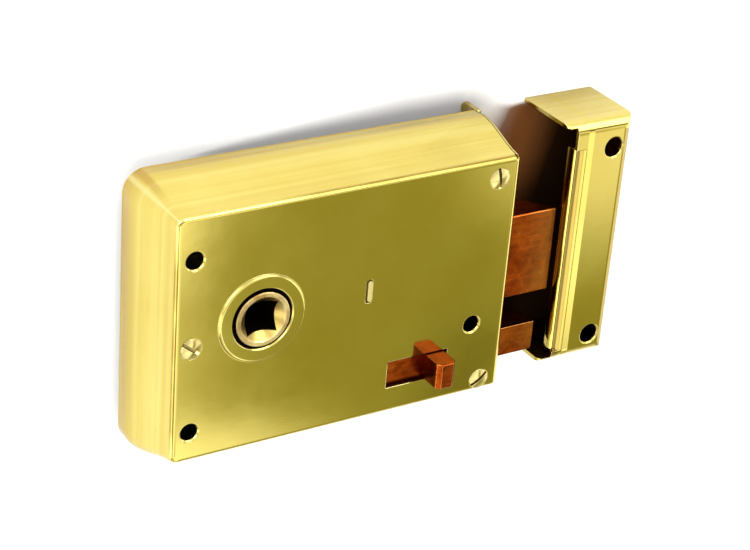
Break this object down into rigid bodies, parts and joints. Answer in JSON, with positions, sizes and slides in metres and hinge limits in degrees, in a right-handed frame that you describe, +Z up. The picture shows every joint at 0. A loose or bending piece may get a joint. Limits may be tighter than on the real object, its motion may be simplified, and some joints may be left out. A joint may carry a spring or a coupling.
{
  "type": "rim latch with snib",
  "caption": "Surface-mounted rim latch: tapered sheet-brass case with a square-hole follower, spring latch bolt, sliding snib bolt and a separate box keep for the frame.",
  "frame": {"origin": "on the spindle axis, in the plane of the door face that the back of the case sits on", "axes": "+X from the spindle towards the fore-end and the keep, +Y into the door, +Z up; the front plate faces -Y"},
  "size_m": [0.1373, 0.0345, 0.0772],
  "materials": {
    "polished_brass": "polished, lacquered sheet",
    "plate_steel": "bright zinc, fine grain",
    "turned_steel": "turned, bright",
    "screw_brass": "turned and polished",
    "spring_steel": "drawn wire",
    "cast_bronze": "cast, machined face, satin",
    "bolt_brass": "drawn bar, warm red-brown lacquer",
    "keep_brass": "polished, lacquered sheet"
  },
  "bodies": {
    "case": {"case_cover": "polished_brass", "back_plate": "plate_steel", "case_pillars": "turned_steel", "case_screws": "screw_brass", "tail_guides": "turned_steel", "snib_guides": "turned_steel", "spring_stump": "screw_brass", "latch_spring": "spring_steel"},
    "follower": {"follower": "cast_bronze"},
    "latch": {"latch_bolt": "bolt_brass", "latch_tail": "plate_steel", "latch_rivets": "turned_steel", "latch_spring_rod": "turned_steel"},
    "snib": {"snib_bolt": "bolt_brass", "snib_slide": "bolt_brass", "snib_knob": "bolt_brass", "snib_rivets": "turned_steel", "snib_spring": "spring_steel", "snib_spring_rivet": "turned_steel"},
    "keep": {"keep_box": "keep_brass"}
  },
  "joints": [
    {"name": "follower_turn", "type": "hinge", "parent": "case", "child": "follower", "pos_m": [0, 0, 0], "axis": [0, -1, 0], "range_deg": [0, 57]},
    {"name": "latch_slide", "type": "slide", "parent": "case", "child": "latch", "axis": [-1, 0, 0], "range_m": [0, 0.0165], "stiffness_N_per_m": 350, "springref_m": -0.012, "deforming": ["latch_spring"]},
    {"name": "snib_travel", "type": "slide", "parent": "case", "child": "snib", "axis": [-1, 0, 0], "range_m": [0, 0.0115]},
    {"name": "keep_shift", "type": "slide", "parent": "case", "child": "keep", "axis": [1, 0, 0], "range_m": [-0.011, 0.02]}
  ],
  "couplings": [
    {"joint": "follower_turn", "follows": "latch_slide", "rad_per_m": 60.293}
  ]
}
